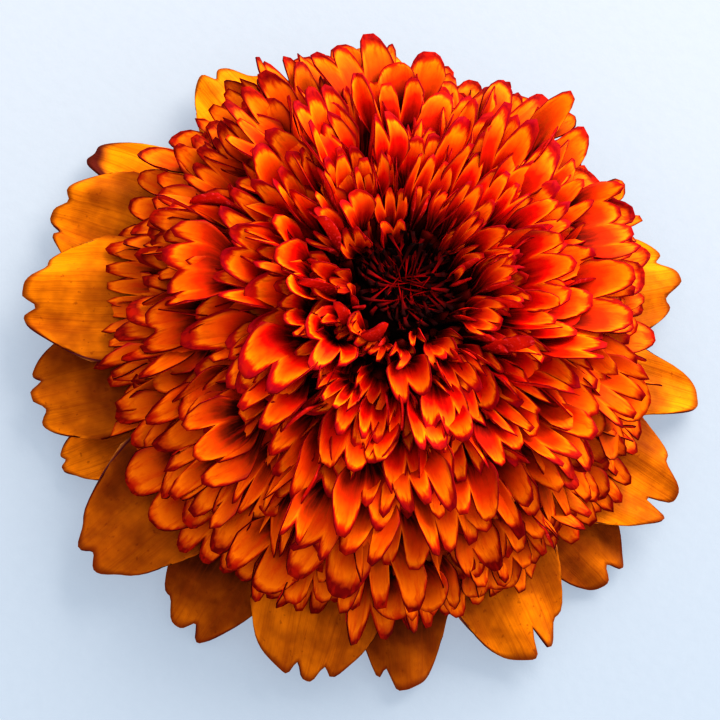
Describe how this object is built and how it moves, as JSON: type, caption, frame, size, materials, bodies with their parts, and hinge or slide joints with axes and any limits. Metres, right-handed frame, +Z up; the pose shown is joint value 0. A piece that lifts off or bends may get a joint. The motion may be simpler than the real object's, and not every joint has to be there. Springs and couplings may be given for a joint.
{
  "type": "zinnia flower head",
  "caption": "Crested zinnia flower head cut close under its green bracts: drooping notched ray petals, a dome of cupped florets and a dark centre, lying face up",
  "frame": {"origin": "middle of the bounding box of the whole flower head, at the level surface it lies on", "axes": "+Z up, out of the flower's face; +Y the way the crest leans; +X to the right of that"},
  "size_m": [0.066, 0.0652, 0.0233],
  "materials": {
    "ray_orange": "soft matt petal, orange with thin brown-red edges",
    "crest_orange_red": "velvety petal, orange with a deep red throat and maroon tips",
    "centre_maroon": "matt, almost black maroon with crimson edges",
    "bract_green": "waxy green with dark edges"
  },
  "bodies": {
    "root": {"stem_and_receptacle": "bract_green", "ray_petal_01": "ray_orange", "ray_petal_02": "ray_orange", "ray_petal_03": "ray_orange", "ray_petal_04": "ray_orange", "ray_petal_05": "ray_orange", "ray_petal_06": "ray_orange", "ray_petal_07": "ray_orange", "ray_petal_08": "ray_orange", "ray_petal_09": "ray_orange", "ray_petal_10": "ray_orange", "ray_petal_11": "ray_orange", "ray_petal_12": "ray_orange", "ray_petal_13": "ray_orange", "ray_petal_14": "ray_orange", "ray_petal_15": "ray_orange", "ray_petal_16": "ray_orange", "ray_petal_17": "ray_orange", "ray_petal_18": "ray_orange", "floret_tier_01": "crest_orange_red", "floret_tier_02": "crest_orange_red", "floret_tier_03": "crest_orange_red", "floret_tier_04": "crest_orange_red", "floret_tier_05": "crest_orange_red", "floret_tier_06": "crest_orange_red", "floret_tier_07": "crest_orange_red", "floret_tier_08": "crest_orange_red", "floret_tier_09": "crest_orange_red", "floret_tier_10": "crest_orange_red", "floret_tier_11": "crest_orange_red", "centre_bracts_1": "centre_maroon", "centre_bracts_2": "centre_maroon", "centre_bracts_3": "centre_maroon", "green_bract_1_1": "bract_green", "green_bract_1_2": "bract_green", "green_bract_1_3": "bract_green", "green_bract_1_4": "bract_green", "green_bract_1_5": "bract_green", "green_bract_1_6": "bract_green", "green_bract_2_1": "bract_green", "green_bract_2_2": "bract_green", "green_bract_2_3": "bract_green", "green_bract_2_4": "bract_green", "green_bract_2_5": "bract_green", "green_bract_2_6": "bract_green", "green_bract_3_1": "bract_green", "green_bract_3_2": "bract_green", "green_bract_3_3": "bract_green", "green_bract_3_4": "bract_green", "green_bract_3_5": "bract_green", "green_bract_3_6": "bract_green"}
  },
  "joints": []
}
